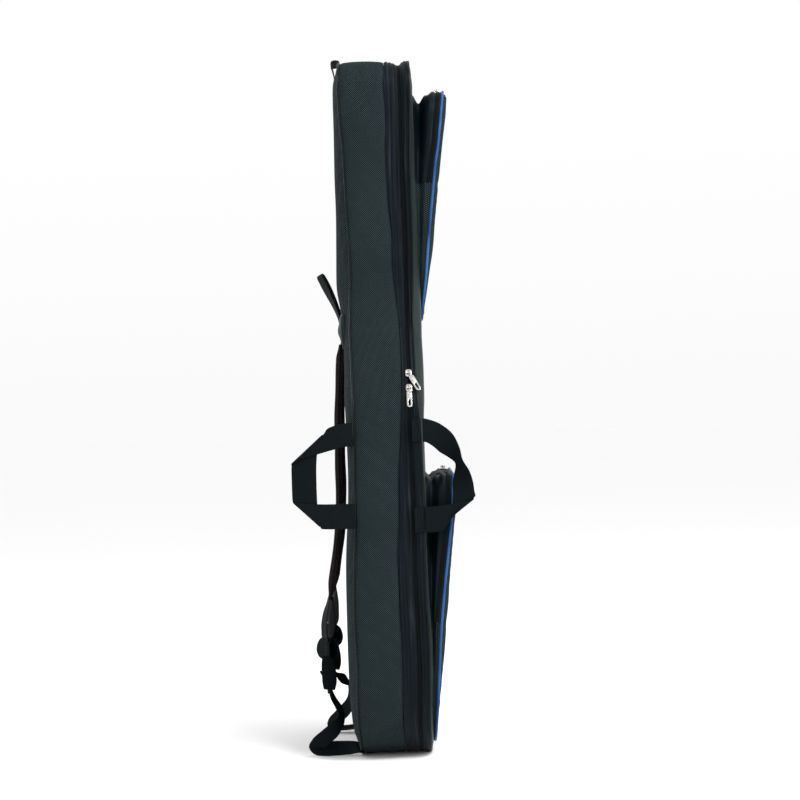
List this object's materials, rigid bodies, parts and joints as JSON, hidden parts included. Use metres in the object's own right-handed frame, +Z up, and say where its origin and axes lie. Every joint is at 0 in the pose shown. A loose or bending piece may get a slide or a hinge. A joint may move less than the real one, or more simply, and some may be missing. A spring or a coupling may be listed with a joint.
{
  "type": "padded gig bag",
  "caption": "Upright padded acoustic-guitar bag: hinged padded front with two zipped pockets, side carry handles, backpack straps, top and grab loops.",
  "frame": {"origin": "on the flat bottom of the bag, in the middle of its width, 48 mm in front of the back panel's seam", "axes": "+Z up along the bag's length, +X across its width with the carry handles at -X, pockets facing -Y and shoulder straps facing +Y"},
  "size_m": [0.4252, 0.2778, 1.102],
  "materials": {
    "ballistic": "dotted diagonal weave, slightly green-black",
    "smooth_nylon": "smooth, satin",
    "foam": "closed-cell foam",
    "lining": "brushed",
    "black_piping": "satin",
    "blue_piping": "satin",
    "zip_tape": "woven tape",
    "zip_coil": "nylon coil",
    "nickel": "polished",
    "webbing": "plain woven webbing",
    "mesh": "air mesh",
    "buckle": "moulded"
  },
  "bodies": {
    "shell": {"back_panel_foam": "foam", "back_panel_outer": "ballistic", "back_panel_lining": "lining", "back_piping": "black_piping", "gusset_outer": "ballistic", "gusset_foam": "foam", "gusset_lining": "lining", "gusset_zip_band": "smooth_nylon", "zip_tape_shell": "zip_tape", "zip_coil_shell": "zip_coil", "lid_hinge_strip": "ballistic", "strap_yoke": "webbing", "strap_lower_left": "webbing", "strap_lower_right": "webbing"},
    "lid": {"lid_foam": "foam", "lid_panel_outer": "smooth_nylon", "lid_lining": "lining", "lid_gusset": "smooth_nylon", "lid_piping": "black_piping", "zip_tape_lid": "zip_tape", "zip_coil_lid": "zip_coil", "upper_pocket_gusset": "ballistic", "upper_pocket_zip_band": "smooth_nylon", "upper_pocket_zip_coil": "zip_coil", "upper_pocket_front": "ballistic", "upper_pocket_piping": "blue_piping", "lower_pocket_gusset": "ballistic", "lower_pocket_zip_band": "smooth_nylon", "lower_pocket_zip_coil": "zip_coil", "lower_pocket_front": "ballistic", "lower_pocket_piping": "blue_piping", "front_handle_ends": "webbing"},
    "upper_flap": {"upper_pocket_flap": "ballistic", "upper_pocket_flap_piping": "blue_piping"},
    "lower_flap": {"lower_pocket_flap": "ballistic", "lower_pocket_flap_piping": "blue_piping"},
    "main_slider_upper": {"main_slider_upper": "nickel"},
    "main_slider_lower": {"main_slider_lower": "nickel"},
    "main_pull_upper": {"main_pull_upper": "nickel"},
    "main_pull_lower": {"main_pull_lower": "nickel"},
    "upper_pocket_slider": {"upper_pocket_slider": "nickel"},
    "upper_pocket_pull": {"upper_pocket_pull": "nickel"},
    "lower_pocket_slider": {"lower_pocket_slider": "nickel"},
    "lower_pocket_pull": {"lower_pocket_pull": "nickel"},
    "back_handle": {"back_handle": "webbing"},
    "front_handle": {"front_handle": "webbing"},
    "grab_loop": {"grab_loop": "webbing"},
    "hang_loop": {"hang_loop": "webbing"},
    "strap_left": {"strap_pad_left": "mesh", "strap_tail_left": "webbing"},
    "tri_glide_left": {"tri_glide_left": "buckle"},
    "ladder_lock_left": {"ladder_lock_left": "buckle"},
    "strap_right": {"strap_pad_right": "mesh", "strap_tail_right": "webbing"},
    "tri_glide_right": {"tri_glide_right": "buckle"},
    "ladder_lock_right": {"ladder_lock_right": "buckle"}
  },
  "joints": [
    {"name": "lid_hinge", "type": "hinge", "parent": "shell", "child": "lid", "pos_m": [0.2145, -0.0405, 0.16], "axis": [0, 0, 1], "range_deg": [0, 110]},
    {"name": "upper_flap_hinge", "type": "hinge", "parent": "lid", "child": "upper_flap", "pos_m": [0, -0.09802, 0.891], "axis": [1, 0, 0], "range_deg": [0, 120]},
    {"name": "lower_flap_hinge", "type": "hinge", "parent": "lid", "child": "lower_flap", "pos_m": [0, -0.08696, 0.207], "axis": [1, 0, 0], "range_deg": [0, 110]},
    {"name": "main_slider_upper_slide", "type": "slide", "parent": "shell", "child": "main_slider_upper", "axis": [0.5344, 0, 0.8452], "range_m": [0, 0.05]},
    {"name": "main_pull_upper_swing", "type": "hinge", "parent": "main_slider_upper", "child": "main_pull_upper", "pos_m": [-0.16068, -0.0405, 0.59478], "axis": [0, 1, 0], "range_deg": [0, 150]},
    {"name": "main_slider_lower_slide", "type": "slide", "parent": "shell", "child": "main_slider_lower", "axis": [0.5344, 0, 0.8452], "range_m": [-0.012, 0]},
    {"name": "main_pull_lower_swing", "type": "hinge", "parent": "main_slider_lower", "child": "main_pull_lower", "pos_m": [-0.17522, -0.0405, 0.57178], "axis": [0, 1, 0], "range_deg": [0, 150]},
    {"name": "upper_pocket_slider_slide", "type": "slide", "parent": "lid", "child": "upper_pocket_slider", "axis": [1, 0, 0], "range_m": [-0.02, 0.02]},
    {"name": "upper_pocket_pull_swing", "type": "hinge", "parent": "upper_pocket_slider", "child": "upper_pocket_pull", "pos_m": [-0.015, -0.101, 1.0467], "axis": [0, 1, 0], "range_deg": [-150, 0]},
    {"name": "lower_pocket_slider_slide", "type": "slide", "parent": "lid", "child": "lower_pocket_slider", "axis": [1, 0, 0], "range_m": [-0.02, 0.02]},
    {"name": "lower_pocket_pull_swing", "type": "hinge", "parent": "lower_pocket_slider", "child": "lower_pocket_pull", "pos_m": [0.06, -0.093, 0.4407], "axis": [0, 1, 0], "range_deg": [-150, 0]},
    {"name": "back_handle_swing", "type": "hinge", "parent": "shell", "child": "back_handle", "pos_m": [-0.1879, 0.0515, 0.437], "axis": [0, 0, 1], "range_deg": [-30, 110]},
    {"name": "front_handle_swing", "type": "hinge", "parent": "lid", "child": "front_handle", "pos_m": [-0.1879, -0.0585, 0.437], "axis": [0, 0, 1], "range_deg": [-110, 5]},
    {"name": "grab_loop_fold", "type": "hinge", "parent": "shell", "child": "grab_loop", "pos_m": [0, 0.0645, 0.675], "axis": [1, 0, 0], "range_deg": [-120, 2]},
    {"name": "hang_loop_fold", "type": "hinge", "parent": "shell", "child": "hang_loop", "pos_m": [0, 0.062, 1.061], "axis": [1, 0, 0], "range_deg": [-100, 2]},
    {"name": "strap_left_lift", "type": "hinge", "parent": "shell", "child": "strap_left", "pos_m": [-0.05522, 0.0665, 0.63801], "axis": [1, 0, 0], "range_deg": [-1.5, 20]},
    {"name": "tri_glide_left_slide", "type": "slide", "parent": "strap_left", "child": "tri_glide_left", "axis": [0.1087, 0, 0.9941], "range_m": [-0.01, 0.03]},
    {"name": "ladder_lock_left_tilt", "type": "hinge", "parent": "strap_left", "child": "ladder_lock_left", "pos_m": [-0.11045, 0.1003, 0.13302], "axis": [0.9941, 0, -0.1087], "range_deg": [-10, 35]},
    {"name": "strap_right_lift", "type": "hinge", "parent": "shell", "child": "strap_right", "pos_m": [0.05522, 0.0665, 0.63801], "axis": [1, 0, 0], "range_deg": [-1.5, 20]},
    {"name": "tri_glide_right_slide", "type": "slide", "parent": "strap_right", "child": "tri_glide_right", "axis": [-0.1087, 0, 0.9941], "range_m": [-0.01, 0.03]},
    {"name": "ladder_lock_right_tilt", "type": "hinge", "parent": "strap_right", "child": "ladder_lock_right", "pos_m": [0.11045, 0.1003, 0.13302], "axis": [0.9941, 0, 0.1087], "range_deg": [-10, 35]}
  ]
}
